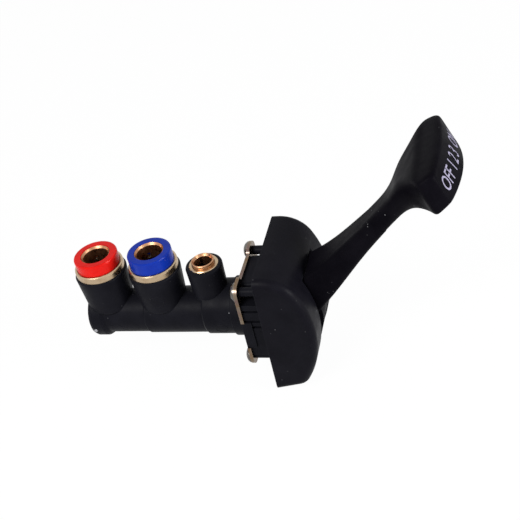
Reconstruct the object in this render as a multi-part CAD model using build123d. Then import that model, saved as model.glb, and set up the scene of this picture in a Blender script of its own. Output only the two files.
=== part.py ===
from build123d import *
from math import atan2, cos, hypot, pi, radians, sin, sqrt
import os

# Hand lever air valve for a dashboard: a stepped plastic valve body with three push-in tube
# ports, clamped by a steel plate to the back of a bezel that carries the lever.
# Frame: X runs along the valve towards the driver, Z points the way the ports do, and the
# origin is on the valve's axis, in the plane of the bezel's rear rim. Millimetres.

# ---------------------------------------------------------------- fits
RUNNING = 0.05  # radial clearance of a shaft or piston that moves
SNUG = 0.02  # radial gap of a piece that is pressed or clipped in place
LOOSE = 0.3  # gap between moving pieces that aren't a fit
SEAL_SIDE_GAP = 0.05

# ---------------------------------------------------------------- lever motion
LEVER_TRAVEL = 55.0  # degrees, from released to full application
PLUNGER_TRAVEL = 4.0
PISTON_TRAVEL = 2.0
POPPET_TRAVEL = 1.2

# ---------------------------------------------------------------- valve body
WALL = 2.6
PORT_WALL = 1.3  # wall left between a bore and the tube's upper side, under the ports
PORT_TUBE_DROP = 1.4  # the tube's outside lies this much below its bore, as far as the exhaust port
BORE_SUPPLY = 5.8  # bore radii, from the closed end to the mouth
BORE_DELIVERY = 6.2
BORE_EXHAUST = 7.9
SUPPLY_X = -64.8  # port axes
DELIVERY_X = -43.1
EXHAUST_X = -23.5
END_OVERHANG = 8.1  # closed end face, beyond the supply port's axis
END_WALL = 3.9
END_RIM_R = 9.7
END_RIM_LENGTH = 6.2
COLLAR_STEP_R = 11.2  # last step, where the tube passes the plate
COLLAR_STEP_X = -14.4
FLANGE_WIDTH = 26.0  # flange clamped between plate and lever housing
FLANGE_HEIGHT = 21.0
FLANGE_CORNER = 5.0
FLANGE_THICKNESS = 3.0

# ---------------------------------------------------------------- tube ports
TUBE_LARGE = 9.525  # tube outer diameters
TUBE_SMALL = 6.35
TUBE_CLEARANCE = 0.0875
RELEASE_TRAVEL = 1.3

# ---------------------------------------------------------------- plate and screws
PANEL_GAP = 8.0  # plate's front face to the bezel's rear rim
PLATE_THICKNESS = 1.2
PLATE_RING = 2.9  # width of the plate's round middle, outside the hole for the body
PLATE_EAR_R = 3.5
PLATE_NOTCH_DEPTH = 0.9
PLATE_NOTCH_TOP = 4.4
PLATE_NOTCH_BOTTOM = -7.6
PLATE_RELIEF = 1.8  # depth and half width of the shallow cuts between the ears, above and below
PLATE_RELIEF_HALF_WIDTH = 8.0
SCREW_HALF_SPACING = 12.0
SCREW_TOP_Z = 16.5
SCREW_BOTTOM_Z = -13.5
SCREW_R = 1.5
SCREW_HEAD_R = 3.35
SCREW_HEAD_HEIGHT = 2.0
SCREW_GRIP = 9.0  # thread length inside the bezel's boss
SCREW_CLEARANCE = 0.2  # radial, in the plate and past the housing
SCREW_SOCKET = 2.5
BOSS_R = 3.0
BOSS_REAR_X = 0.4  # where each boss starts, just inside the bezel's rear rim

# ---------------------------------------------------------------- bezel
BEZEL_HALF_WIDTH = 20.2
BEZEL_TOP = 27.0
BEZEL_BOTTOM = -24.8
BEZEL_DEPTH = 18.3
BEZEL_BROW_R = 13.0
BEZEL_BROW_TURN = 26.0  # degrees above +X where brow and front arcs join
BEZEL_FRONT_R = 42.0
BEZEL_CHIN_R = 5.5
BEZEL_SLOPE = 0.245
BEZEL_WALL = 2.4
BEZEL_EDGE = 2.8
SLOT_HALF_WIDTH = 8.3
SLOT_TOP = 18.6
SLOT_BOTTOM = -15.5
SLOT_EDGE = 1.2
STOP_RIB_THICKNESS = 3.0
STOP_RIB_HALF_HEIGHT = 9.0
STOP_RIB_OVERLAP = 1.3  # how far each stop rib covers the housing's front
BEZEL_SKIRT = 6.0  # cavity's length behind the rear rim plane

# ---------------------------------------------------------------- lever housing
HOUSING_SIDE_MARGIN = 2.5  # housing's side beyond the screws' axes
HOUSING_HALF_HEIGHT = 12.0
HOUSING_FRONT = 2.0
CROWN_TOP = 17.0  # raised middle of the housing's upper side
CROWN_HALF_WIDTH = 8.4
CROWN_EDGE = 1.2
HOUSING_RECESS = -2.5  # floor of the recess in front of the plunger
SKIRT_BOTTOM = -17.0  # skirt below the recess, which closes the view through the slot
CHEEK_INNER = 8.3
CHEEK_THICKNESS = 2.5
CHEEK_R = 5.2
RIB_GROOVE = 1.2  # height of each groove between the side ribs
RIB_GROOVE_DEPTH = 0.8
RIB_GROOVE_Z = (9.2, 4.6, 1.9)  # middles of the grooves
TONGUE_REACH = 0.6  # tongue in the plate's side notch, beyond the housing's side
TONGUE_LENGTH = 2.5
WIPER_R = 7.1
WIPER_THICKNESS = 1.6

# ---------------------------------------------------------------- lever
PIVOT_X = 8.5
PIVOT_Z = 0.9
LEVER_ANGLE = 46.5  # rest direction above +X
PIN_R = 2.5
PIN_HEAD_R = 3.8
PIN_HEAD_THICKNESS = 1.0
BUSHING_WALL = 0.8
BUSHING_FLANGE_R = 4.6
BUSHING_FLANGE_THICKNESS = 0.7
HUB_HALF_WIDTH = 7.3
HUB_R = 5.2
DRUM_R = 10.7
DRUM_FROM = -47.0  # angular span of the drum that closes the slot
DRUM_TO = 124.0
CAM_LIFT_START = 5.5
CAM_HALF_WIDTH = 3.0
CAM_PIN_R = 1.25
CAM_SLOT_R = 9.6  # slot in the hub for the cam
CAM_SLOT_FROM = 66.0
CAM_SLOT_TO = 290.0
CAM_EAR_R = 9.4  # cam's ear, which the dowel passes
CAM_EAR_FROM = 74.0
CAM_EAR_TO = 116.0
CAM_PIN_ORBIT = 7.5
CAM_PIN_ANGLE = 95.0
# the arm's cross-sections: distance from the pivot, offset towards the rear, width, thickness, corner
ARM_SECTIONS = (
    (4.53, 0.2, 14.4, 12.6, 1.2),
    (17.64, 1.15, 15.8, 12.5, 1.6),
    (23.43, 0.75, 15.2, 10.9, 2.0),
    (32.97, 0.5, 13.7, 8.8, 2.3),
    (44.01, 0.45, 12.6, 7.3, 2.4),
    (53.56, 0.55, 12.2, 6.7, 2.5),
)
# the flare's cross-sections: the same, and then the angle above +X at which each is square to the lever
FLARE_SECTIONS = (
    (60.5, 1.1, 15.4, 8.0, 2.7, 41.0),
    (67.44, 1.6, 24.0, 9.6, 3.0, 31.0),
)
KNOB_REACH = 80.4  # middle of the knob's front, from the pivot
KNOB_OFFSET = -1.65
KNOB_ANGLE = 20.0
KNOB_FRONT_HALF_WIDTH = 15.8  # of the front face, at its upper edge
KNOB_HALF_WIDTH = 18.9  # at the widest, behind the slanted ends, at the upper edge
KNOB_TAPER = 1.6  # both half widths shrink by this much at the lower edge
KNOB_SLANT = 3.8  # depth of the slanted ends
KNOB_HEIGHT = 13.8
KNOB_THICKNESS = 6.4
KNOB_TOP_BULGE = 1.2  # rise of the front's curve, at its upper and lower edges
KNOB_BOTTOM_BULGE = 4.4
KNOB_EDGE = 1.5
KNOB_SHOULDER = 0.9  # the lever's flare stops this far inside the knob's rear outline

# ---------------------------------------------------------------- piston train
PLUNGER_R = 5.0
STEM_R = 2.2
STEM_BORE_R = 1.1
SPRING_POCKET_R = 5.1
SEAT_BORE_R = 3.3
POPPET_SEAL_R = 4.6

# ---------------------------------------------------------------- places that follow
END_X = SUPPLY_X - END_OVERHANG
BORE_END_X = END_X + END_WALL
STEP_1_X = DELIVERY_X - 6.3
STEP_2_X = EXHAUST_X - 1.8
SEAT_SHOULDER_X = DELIVERY_X - 7.4
EXHAUST_BORE_X = EXHAUST_X - 1.0
PLATE_FRONT_X = -PANEL_GAP
PLATE_REAR_X = PLATE_FRONT_X - PLATE_THICKNESS
FLANGE_FRONT_X = PLATE_FRONT_X + FLANGE_THICKNESS
PLATE_HOLE_R = COLLAR_STEP_R + 0.15
PLATE_R = PLATE_HOLE_R + PLATE_RING
HOUSING_HALF_WIDTH = SCREW_HALF_SPACING + HOUSING_SIDE_MARGIN
BEZEL_INNER_HALF_WIDTH = BEZEL_HALF_WIDTH - BEZEL_WALL
CAM_RATE = PLUNGER_TRAVEL / radians(LEVER_TRAVEL)
PLUNGER_FACE_X = PIVOT_X - CAM_LIFT_START - RUNNING
PIN_BORE_R = PIN_R + RUNNING
BUSHING_R = PIN_BORE_R + BUSHING_WALL
CHEEK_OUTER = CHEEK_INNER + CHEEK_THICKNESS
SEAT_LENGTH = 4.7  # seat insert, from its lip to its front face
SEAT_NOSE = 1.7
SEAT_LIP_X = SEAT_SHOULDER_X - SEAT_NOSE
SEAT_FRONT_X = SEAT_LIP_X + SEAT_LENGTH
STEM_TIP_X = SEAT_LIP_X + PISTON_TRAVEL - POPPET_TRAVEL
DELIVERY_CHAMBER = 9.0
PISTON_REAR_X = SEAT_FRONT_X + DELIVERY_CHAMBER
PISTON_HEAD = 4.5
PISTON_SKIRT = 5.0
PLUNGER_COLLAR_X = FLANGE_FRONT_X - 6.3
PLUNGER_COLLAR = 3.0
PLUNGER_SKIRT = 2.2

FROM_END = (Align.CENTER, Align.CENTER, Align.MIN)
FAR = 20.0  # reaches past any wall that a hole is cut through


def turned(points, axis=Axis.X):
    """A turned piece: points are (along the axis, radius)."""
    if axis == Axis.X:
        outline = Plane.XZ * make_face(Polyline(*points, close=True))
    else:
        outline = Plane.XZ * make_face(Polyline(*[(r, z) for z, r in points], close=True))
    return revolve(outline, axis=axis)


def rod_x(radius, start, end, y=0.0, z=0.0):
    """A cylinder along X."""
    length = end - start
    return Pos(start, y, z) * Rot(0, 90, 0) * Cylinder(radius, length, align=FROM_END)


def rod_y(radius, start, end, x, z):
    """A cylinder along Y."""
    length = end - start
    return Pos(x, start, z) * Rot(-90, 0, 0) * Cylinder(radius, length, align=FROM_END)


def block(x0, x1, y0, y1, z0, z1):
    """A box between two corners."""
    return Pos(x0, y0, z0) * Box(x1 - x0, y1 - y0, z1 - z0, align=(Align.MIN,) * 3)


def o_ring(major, minor):
    """An O-ring round the Z axis, with a ten-sided section."""
    corners = [(minor * cos(pi * k / 5), major + minor * sin(pi * k / 5)) for k in range(10)]
    return turned(corners, Axis.Z)


def ring_x(major, minor, x):
    """An O-ring round the X axis."""
    return Pos(x, 0, 0) * Rot(0, 90, 0) * o_ring(major, minor)


def spring_x(mean_radius, wire, start, end, turns):
    """A compression spring along X, its wire's centreline from start to end, six-sided in section."""
    length = end - start
    helix = Helix(pitch=length / turns, height=length, radius=mean_radius)
    wire_section = Plane(origin=helix @ 0, z_dir=helix % 0) * RegularPolygon(wire, 6)
    return Pos(start, 0, 0) * Rot(0, 90, 0) * sweep(wire_section, path=helix)


# ---------------------------------------------------------------- ports
class Port:
    """One push-in tube port: its place on the body and the sizes that follow from its tube."""

    def __init__(self, name, x, tube, boss_top, boss_r, foot_z, foot_r, ring_r, ring_height, floor_z, collar,
                 stand):
        self.name = name
        self.x = x
        self.seat_r = tube / 2 + TUBE_CLEARANCE
        self.boss_top = boss_top
        self.boss_r = boss_r
        self.foot_z = foot_z
        self.foot_r = foot_r
        self.ring_r = ring_r
        self.ring_top = boss_top + ring_height
        self.floor_z = floor_z
        self.collar = collar
        self.sleeve_r = ring_r - 1.7 if collar else ring_r
        self.collet_r = self.seat_r + (0.75 if collar else 1.0)
        self.throat_r = self.collet_r + 0.1
        self.flare_r = min(self.collet_r + 1.0, self.sleeve_r - 0.6)
        self.collar_r = ring_r - 1.0
        self.mouth_r = self.collar_r + 0.2
        self.mouth_floor = self.ring_top - 1.8 if collar else self.ring_top
        self.seal_r = (self.sleeve_r - SNUG - self.seat_r) / 2
        self.shoulder_z = self.floor_z + 2.1
        self.sleeve_z = self.shoulder_z + 2 * self.seal_r + 0.2
        self.collet_z = self.sleeve_z + RELEASE_TRAVEL + LOOSE
        self.collet_top = self.ring_top + stand

    def place(self, shape):
        return Pos(self.x, 0, 0) * shape

    def boss(self):
        """Tapered boss that stands on the valve body, with rounded mouth and foot edges."""
        edge = 0.7
        return self.place(turned([
            (self.foot_z, 0), (self.foot_z, self.foot_r - edge),
            (self.foot_z + edge * 0.3, self.foot_r - edge * 0.3),
            (self.foot_z + edge, self.foot_r), (self.boss_top - edge, self.boss_r),
            (self.boss_top - edge * 0.3, self.boss_r - edge * 0.3), (self.boss_top, self.boss_r - edge),
            (self.boss_top, 0)], Axis.Z))

    def bore(self, passage_r):
        """Stepped bore: cartridge and seal, tube seat, then the passage into the valve."""
        return self.place(turned([
            (0, 0), (0, passage_r), (self.floor_z, passage_r), (self.floor_z, self.seat_r),
            (self.shoulder_z, self.seat_r), (self.shoulder_z, self.sleeve_r),
            (self.boss_top + 1, self.sleeve_r), (self.boss_top + 1, 0)], Axis.Z))

    def cartridge(self):
        """Brass ring and sleeve that hold the collet; its flared bore grips the fingers."""
        inner = [
            (self.sleeve_z, self.flare_r), (self.collet_z + 2.6, self.throat_r),
            (self.mouth_floor, self.throat_r)]
        if self.collar:
            inner += [(self.mouth_floor, self.mouth_r), (self.ring_top, self.mouth_r)]
            outer = [
                (self.ring_top, self.ring_r - 0.45), (self.ring_top - 0.25, self.ring_r - 0.1),
                (self.ring_top - 0.7, self.ring_r), (self.boss_top, self.ring_r),
                (self.boss_top, self.sleeve_r - SNUG)]
        else:
            outer = [
                (self.mouth_floor, self.sleeve_r - 0.25), (self.mouth_floor - 0.25, self.sleeve_r - SNUG)]
        return self.place(turned(inner + outer + [(self.sleeve_z, self.sleeve_r - SNUG)], Axis.Z))

    def collet(self):
        """Slotted collet whose lipped fingers bite on the tube."""
        lip = 0.38 * (self.flare_r - self.throat_r)
        top = self.collet_top
        body = turned([
            (self.collet_z, self.seat_r + 0.15), (self.collet_z, self.collet_r + lip - 0.2),
            (self.collet_z + 0.4, self.collet_r + lip), (self.collet_z + 1.0, self.collet_r + lip),
            (self.collet_z + 1.9, self.collet_r), (top - 0.15, self.collet_r), (top, self.collet_r - 0.15),
            (top, self.seat_r + 0.55), (top - 0.8, self.seat_r), (self.collet_z + 0.3, self.seat_r)], Axis.Z)
        slot_top = top - 4.0 if self.collar else self.ring_top
        for turn in (30, 120):
            body -= Rot(0, 0, turn) * block(-8, 8, -0.5, 0.5, self.collet_z - 1, slot_top)
        return self.place(body)

    def release_collar(self):
        """Coloured ring clipped to the collet: pressing it frees the tube."""
        foot = self.mouth_floor + RELEASE_TRAVEL + 0.2
        top = self.collet_top + 0.2
        return self.place(turned([
            (foot, self.collet_r + SNUG), (foot, self.collar_r - 0.3), (foot + 0.3, self.collar_r),
            (top - 0.5, self.collar_r), (top - 0.15, self.collar_r - 0.15), (top, self.collar_r - 0.5),
            (top, self.collet_r + SNUG)], Axis.Z))

    def seal(self):
        """O-ring that seals on the tube, between the shoulder and the cartridge."""
        middle = self.shoulder_z + self.seal_r + SEAL_SIDE_GAP
        return self.place(Pos(0, 0, middle) * o_ring(self.seat_r + self.seal_r, self.seal_r))


PORTS = [
    Port("supply", SUPPLY_X, TUBE_LARGE, 19.2, 9.9, 3.6, 8.9, 9.3, 2.6, 8.5, True, 4.3),
    Port("delivery", DELIVERY_X, TUBE_LARGE, 19.2, 9.9, 3.6, 8.9, 9.3, 2.6, 8.5, True, 5.0),
    Port("exhaust", EXHAUST_X, TUBE_SMALL, 20.1, 6.9, 6.6, 6.6, 5.5, 0.4, 10.0, False, 1.5),
]
PASSAGE_R = {"supply": 3.2, "delivery": 3.2, "exhaust": 2.2}


# ---------------------------------------------------------------- valve body
def valve_body():
    """Stepped tube closed at one end, with the three port bosses and the clamped flange."""
    r1 = BORE_SUPPLY + PORT_WALL + PORT_TUBE_DROP
    r2 = BORE_DELIVERY + PORT_WALL + PORT_TUBE_DROP
    r3 = BORE_EXHAUST + WALL
    rim_x = END_X + END_RIM_LENGTH
    port_tube = Pos(0, 0, -PORT_TUBE_DROP) * turned([
        (END_X, 0), (END_X, END_RIM_R - 1.6), (END_X + 0.5, END_RIM_R - 0.5), (END_X + 1.6, END_RIM_R),
        (rim_x - 0.9, END_RIM_R), (rim_x, END_RIM_R - 0.5), (rim_x + 0.8, r1),
        (STEP_1_X - 0.5, r1), (STEP_1_X, r2), (STEP_2_X + 1, r2), (STEP_2_X + 1, 0)])
    mouth_tube = turned([
        (STEP_2_X - 0.6, 0), (STEP_2_X - 0.6, r3 - 0.5), (STEP_2_X, r3), (COLLAR_STEP_X - 0.4, r3),
        (COLLAR_STEP_X, COLLAR_STEP_R), (PLATE_FRONT_X, COLLAR_STEP_R), (PLATE_FRONT_X, 0)])
    tube = port_tube + mouth_tube
    flange = Plane.YZ.offset(PLATE_FRONT_X) * RectangleRounded(FLANGE_WIDTH, FLANGE_HEIGHT, FLANGE_CORNER)
    body = tube + extrude(flange, amount=FLANGE_THICKNESS)
    for port in PORTS:
        body += port.boss()
    body -= turned([
        (BORE_END_X, 0), (BORE_END_X, BORE_SUPPLY), (SEAT_SHOULDER_X, BORE_SUPPLY),
        (SEAT_SHOULDER_X, BORE_DELIVERY), (EXHAUST_BORE_X, BORE_DELIVERY),
        (EXHAUST_BORE_X + 0.5, BORE_EXHAUST), (FLANGE_FRONT_X + 1, BORE_EXHAUST), (FLANGE_FRONT_X + 1, 0)])
    for port in PORTS:
        body -= port.bore(PASSAGE_R[port.name])
    return body


# ---------------------------------------------------------------- valve internals
def inlet_seat():
    """Brass insert whose lip the poppet closes on; the piston's stem passes through it."""
    outer = BORE_DELIVERY - SNUG
    nose = BORE_SUPPLY - SNUG
    groove = 1.7
    groove_x = SEAT_SHOULDER_X + 0.8
    return turned([
        (SEAT_LIP_X, SEAT_BORE_R), (SEAT_LIP_X, SEAT_BORE_R + 0.6), (SEAT_LIP_X + 0.8, SEAT_BORE_R + 1.2),
        (SEAT_LIP_X + 0.8, nose), (SEAT_SHOULDER_X, nose), (SEAT_SHOULDER_X, outer),
        (groove_x, outer), (groove_x, outer - 1.3), (groove_x + groove, outer - 1.3),
        (groove_x + groove, outer), (SEAT_FRONT_X, outer), (SEAT_FRONT_X, SEAT_BORE_R)])


def inlet_seat_o_ring():
    minor = 0.64
    return ring_x(BORE_DELIVERY - SNUG - minor, minor, SEAT_SHOULDER_X + 0.8 + 0.85)


def poppet():
    """Fluted carrier that slides in the supply bore, with a spigot for its spring."""
    face = SEAT_LIP_X - SNUG - 0.9
    guide = BORE_SUPPLY - RUNNING
    flute_r = guide + 0.1 - POPPET_SEAL_R
    body = turned([
        (face - 6.0, 0), (face - 6.0, 2.2), (face - 5.4, 2.8), (face - 3.4, 2.8), (face - 3.4, guide - 0.3),
        (face - 3.1, guide), (face - 0.3, guide), (face, guide - 0.3), (face, 2.4), (face + 0.5, 2.0),
        (face + 0.5, 0)])
    for turn in range(0, 360, 90):
        body -= Rot(turn + 45, 0, 0) * rod_x(flute_r, face - 5, face + 1, z=guide + 0.2)
    return body


def poppet_seal():
    """Rubber face bonded to the poppet."""
    face = SEAT_LIP_X - SNUG
    return turned([
        (face - 0.9, 2.4 + SNUG), (face - 0.9, POPPET_SEAL_R), (face - 0.15, POPPET_SEAL_R),
        (face, POPPET_SEAL_R - 0.15), (face, 0.0),
        (face - 0.35, 0.0), (face - 0.35, 2.0 + SNUG)])


def piston():
    """Hollow piston: its stem closes on the poppet, and its bore leads to the exhaust chamber."""
    rear = PISTON_REAR_X
    head = rear + PISTON_HEAD
    skirt = head + PISTON_SKIRT
    guide = BORE_DELIVERY - RUNNING
    groove_from, groove_to = rear + 1.0, rear + 3.2
    return turned([
        (STEM_TIP_X, STEM_BORE_R), (STEM_TIP_X, STEM_R - 0.4), (STEM_TIP_X + 0.4, STEM_R),
        (rear - 1.0, STEM_R), (rear, STEM_R + 1.0), (rear, guide - 0.4), (rear + 0.4, guide),
        (groove_from, guide),
        (groove_from, guide - 1.85), (groove_to, guide - 1.85), (groove_to, guide), (skirt - 0.4, guide),
        (skirt, guide - 0.4), (skirt, SPRING_POCKET_R), (head, SPRING_POCKET_R), (head, STEM_BORE_R)])


def piston_o_ring():
    minor = 0.9
    return ring_x(BORE_DELIVERY - RUNNING - minor, minor, PISTON_REAR_X + 2.1)


def plunger():
    """Cam follower: a rod with a collar that the graduating spring pushes towards the cam."""
    collar = PLUNGER_COLLAR_X
    skirt = collar - PLUNGER_COLLAR - PLUNGER_SKIRT
    guide = BORE_EXHAUST - RUNNING
    return turned([
        (skirt, SPRING_POCKET_R), (skirt, guide - 0.4), (skirt + 0.4, guide), (collar - 0.4, guide),
        (collar, guide - 0.4), (collar, PLUNGER_R), (PLUNGER_FACE_X - 0.5, PLUNGER_R),
        (PLUNGER_FACE_X, PLUNGER_R - 0.5), (PLUNGER_FACE_X, 0), (skirt + PLUNGER_SKIRT, 0),
        (skirt + PLUNGER_SKIRT, SPRING_POCKET_R)])


def plunger_bushing():
    """Bronze guide pressed in the mouth of the valve body."""
    rear = PLUNGER_COLLAR_X + LOOSE
    outer = BORE_EXHAUST - SNUG
    return turned([
        (rear, PLUNGER_R + RUNNING), (rear, outer - 0.4), (rear + 0.4, outer), (FLANGE_FRONT_X, outer),
        (FLANGE_FRONT_X, PLUNGER_R + RUNNING)])


def plunger_wiper():
    """Dust wiper in the lever housing, round the plunger."""
    front = FLANGE_FRONT_X + WIPER_THICKNESS
    return turned([
        (FLANGE_FRONT_X, PLUNGER_R + RUNNING + 0.5), (FLANGE_FRONT_X, WIPER_R), (front, WIPER_R),
        (front, PLUNGER_R + RUNNING), (front - 0.4, PLUNGER_R + RUNNING)])


# ---------------------------------------------------------------- plate and screws
def screw_places():
    for y in (-SCREW_HALF_SPACING, SCREW_HALF_SPACING):
        for z in (SCREW_TOP_Z, SCREW_BOTTOM_Z):
            yield y, z


def mounting_plate():
    """Stamped plate with a round corner at each screw, a notch in each side and relieved ends."""
    corners = [edge for y, z in screw_places() for edge in (Pos(y, z) * Circle(PLATE_EAR_R)).edges()]
    outline = Sketch() + make_hull(corners)
    plate_top = SCREW_TOP_Z + PLATE_EAR_R
    plate_bottom = SCREW_BOTTOM_Z - PLATE_EAR_R
    relief = RectangleRounded(2 * PLATE_RELIEF_HALF_WIDTH, 2 * PLATE_RELIEF, PLATE_RELIEF - 0.1)
    for z in (plate_top, plate_bottom):
        outline -= Pos(0, z) * relief
    notch_floor = PLATE_R - PLATE_NOTCH_DEPTH
    notch_height = PLATE_NOTCH_TOP - PLATE_NOTCH_BOTTOM
    notch_z = (PLATE_NOTCH_TOP + PLATE_NOTCH_BOTTOM) / 2
    for side in (-1, 1):
        outline -= Pos(side * (notch_floor + FAR / 2), notch_z) * Rectangle(FAR, notch_height)
    for y, z in screw_places():
        outline -= Pos(y, z) * Circle(SCREW_R + SCREW_CLEARANCE)
    outline -= Circle(PLATE_HOLE_R)
    return extrude(Plane.YZ.offset(PLATE_REAR_X) * outline, amount=PLATE_THICKNESS)


def plate_screws():
    """Four button-head screws, driven from behind into the bezel's bosses."""
    screws = []
    for y, z in screw_places():
        head = Pos(PLATE_REAR_X, 0, 0) * turned([
            (0, 0), (0, SCREW_HEAD_R), (-0.5, SCREW_HEAD_R), (-1.2, SCREW_HEAD_R - 0.45),
            (-1.7, SCREW_HEAD_R - 1.1), (-SCREW_HEAD_HEIGHT, SCREW_HEAD_R - 1.9), (-SCREW_HEAD_HEIGHT, 0)])
        socket_x = PLATE_REAR_X - SCREW_HEAD_HEIGHT
        hexagon = Plane.YZ.offset(socket_x) * RegularPolygon(SCREW_SOCKET / 2, 6, major_radius=False)
        head -= extrude(hexagon, amount=1.2)
        shank = rod_x(SCREW_R, PLATE_REAR_X, BOSS_REAR_X + SCREW_GRIP)
        screws.append(Pos(0, y, z) * (head + shank))
    return Compound(children=screws)


# ---------------------------------------------------------------- bezel
def bezel_outline(rear=0.0):
    """Side profile of the bezel in X and Z: flat top, brow, shallow front, chin, sloping underside."""
    turn = radians(BEZEL_BROW_TURN)
    apart = BEZEL_FRONT_R - BEZEL_BROW_R
    front = (BEZEL_DEPTH - BEZEL_FRONT_R, BEZEL_TOP - BEZEL_BROW_R - apart * sin(turn))
    brow = (front[0] + apart * cos(turn), BEZEL_TOP - BEZEL_BROW_R)
    brow_start = (brow[0], BEZEL_TOP)

    def on(centre, radius, angle):
        return centre[0] + radius * cos(angle), centre[1] + radius * sin(angle)

    # the front arc runs down to the underside, a line that rises by BEZEL_SLOPE per unit of X
    drop = BEZEL_BOTTOM - front[1]
    square = 1 + BEZEL_SLOPE**2
    linear = BEZEL_SLOPE * drop - front[0]
    chin_x = (-linear + sqrt(linear**2 - square * (front[0] ** 2 + drop**2 - BEZEL_FRONT_R**2))) / square
    chin = (chin_x, BEZEL_BOTTOM + BEZEL_SLOPE * chin_x)
    low = atan2(chin[1] - front[1], chin[0] - front[0])
    back = (rear, BEZEL_BOTTOM + BEZEL_SLOPE * rear)
    brow_end = on(brow, BEZEL_BROW_R, turn)
    outline = make_face([
        Line((rear, BEZEL_TOP), brow_start),
        ThreePointArc(brow_start, on(brow, BEZEL_BROW_R, (turn + pi / 2) / 2), brow_end),
        ThreePointArc(brow_end, on(front, BEZEL_FRONT_R, (turn + low) / 2), chin),
        Line(chin, back),
        Line(back, (rear, BEZEL_TOP))])
    corner = min(outline.vertices(), key=lambda v: hypot(v.X - chin[0], v.Y - chin[1]))
    return fillet(corner, BEZEL_CHIN_R)


def bezel():
    """Domed shell with the lever's slot, four screw bosses and the ribs that stop the housing."""
    solid = extrude(Plane.XZ * bezel_outline(), amount=BEZEL_HALF_WIDTH, both=True)
    side_edges = solid.edges().filter_by(lambda e: abs(abs(e.center().Y) - BEZEL_HALF_WIDTH) < 0.01)
    solid = fillet(side_edges.filter_by(lambda e: e.center().X > 0.5), BEZEL_EDGE)
    inner = offset(bezel_outline(rear=-BEZEL_SKIRT), amount=-BEZEL_WALL)
    cavity = extrude(Plane.XZ * inner, amount=BEZEL_INNER_HALF_WIDTH, both=True)
    shell = solid - cavity
    posts = None
    for y, z in screw_places():
        post = rod_x(BOSS_R, BOSS_REAR_X, BEZEL_HALF_WIDTH, y, z)
        posts = post if posts is None else posts + post
    shell += posts & solid
    rib_root = BEZEL_INNER_HALF_WIDTH + 0.5
    rib_front = HOUSING_FRONT + STOP_RIB_THICKNESS
    for side in (-1, 1):
        y0, y1 = sorted((side * (HOUSING_HALF_WIDTH - STOP_RIB_OVERLAP), side * rib_root))
        shell += block(HOUSING_FRONT, rib_front, y0, y1, -STOP_RIB_HALF_HEIGHT, STOP_RIB_HALF_HEIGHT)
    for y, z in screw_places():
        shell -= rod_x(SCREW_R + SNUG, 0, BOSS_REAR_X + SCREW_GRIP + 1, y, z)
    slot_end = BEZEL_DEPTH + BEZEL_EDGE
    shell -= block(PIVOT_X, slot_end, -SLOT_HALF_WIDTH, SLOT_HALF_WIDTH, SLOT_BOTTOM, SLOT_TOP)
    lips = [e for e in shell.edges() if abs(abs(e.center().Y) - SLOT_HALF_WIDTH) < 0.01 and e.length > 20]
    lips = sorted(lips, key=lambda e: -e.center().X)[:2]
    return fillet(lips, SLOT_EDGE)


# ---------------------------------------------------------------- lever housing
def lever_housing():
    """Block between plate and bezel: holds the body's flange, the wiper and the pivot's cheeks."""
    half_w, half_h = HOUSING_HALF_WIDTH, HOUSING_HALF_HEIGHT
    body = block(PLATE_FRONT_X, HOUSING_FRONT, -half_w, half_w, -half_h, half_h)
    pocket = Plane.YZ.offset(PLATE_FRONT_X) * RectangleRounded(
        FLANGE_WIDTH + 0.2, FLANGE_HEIGHT + 0.2, FLANGE_CORNER)
    body -= extrude(pocket, amount=FLANGE_THICKNESS)
    body -= block(HOUSING_RECESS, HOUSING_FRONT + 1, -CHEEK_INNER, CHEEK_INNER, -FAR, FAR)
    body += block(FLANGE_FRONT_X, HOUSING_RECESS, -CHEEK_INNER, CHEEK_INNER, SKIRT_BOTTOM, -half_h)
    crown = block(PLATE_FRONT_X, HOUSING_RECESS, -CROWN_HALF_WIDTH, CROWN_HALF_WIDTH, half_h, CROWN_TOP)
    body += fillet(crown.edges().filter_by(Axis.X).group_by(Axis.Z)[-1], CROWN_EDGE)
    body -= rod_x(WIPER_R + SNUG, FLANGE_FRONT_X - 1, FLANGE_FRONT_X + WIPER_THICKNESS)
    body -= rod_x(PLUNGER_R + LOOSE, FLANGE_FRONT_X, HOUSING_RECESS + 1)
    for side in (-1, 1):
        y0, y1 = sorted((side * CHEEK_INNER, side * CHEEK_OUTER))
        arm = block(HOUSING_FRONT - 1, PIVOT_X, y0, y1, PIVOT_Z - CHEEK_R, PIVOT_Z + CHEEK_R)
        body += arm + rod_y(CHEEK_R, y0, y1, PIVOT_X, PIVOT_Z)
        groove0, groove1 = sorted((side * (half_w - RIB_GROOVE_DEPTH), side * (half_w + 1)))
        for z in RIB_GROOVE_Z:
            low, high = z - RIB_GROOVE / 2, z + RIB_GROOVE / 2
            body -= block(PLATE_FRONT_X - 1, HOUSING_FRONT + 1, groove0, groove1, low, high)
        notch_floor = PLATE_R - PLATE_NOTCH_DEPTH + 0.1
        tongue0, tongue1 = sorted((side * notch_floor, side * (half_w + TONGUE_REACH)))
        low, high = PLATE_NOTCH_BOTTOM + 0.1, PLATE_NOTCH_TOP - 0.1
        body += block(PLATE_REAR_X, PLATE_FRONT_X + TONGUE_LENGTH, tongue0, tongue1, low, high)
    for y, z in screw_places():
        body -= rod_x(SCREW_R + SCREW_CLEARANCE, PLATE_FRONT_X - 1, HOUSING_FRONT, y, z)
        body -= rod_x(BOSS_R + LOOSE, BOSS_REAR_X - LOOSE, HOUSING_FRONT + 1, y, z)
    body -= rod_y(PIN_R + SNUG, -half_w, half_w, PIVOT_X, PIVOT_Z)
    return body


# ---------------------------------------------------------------- lever, cam and pivot
def polar(radius, angle):
    """A point in X and Z, about the pivot."""
    a = radians(angle)
    return PIVOT_X + radius * cos(a), PIVOT_Z + radius * sin(a)


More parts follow.
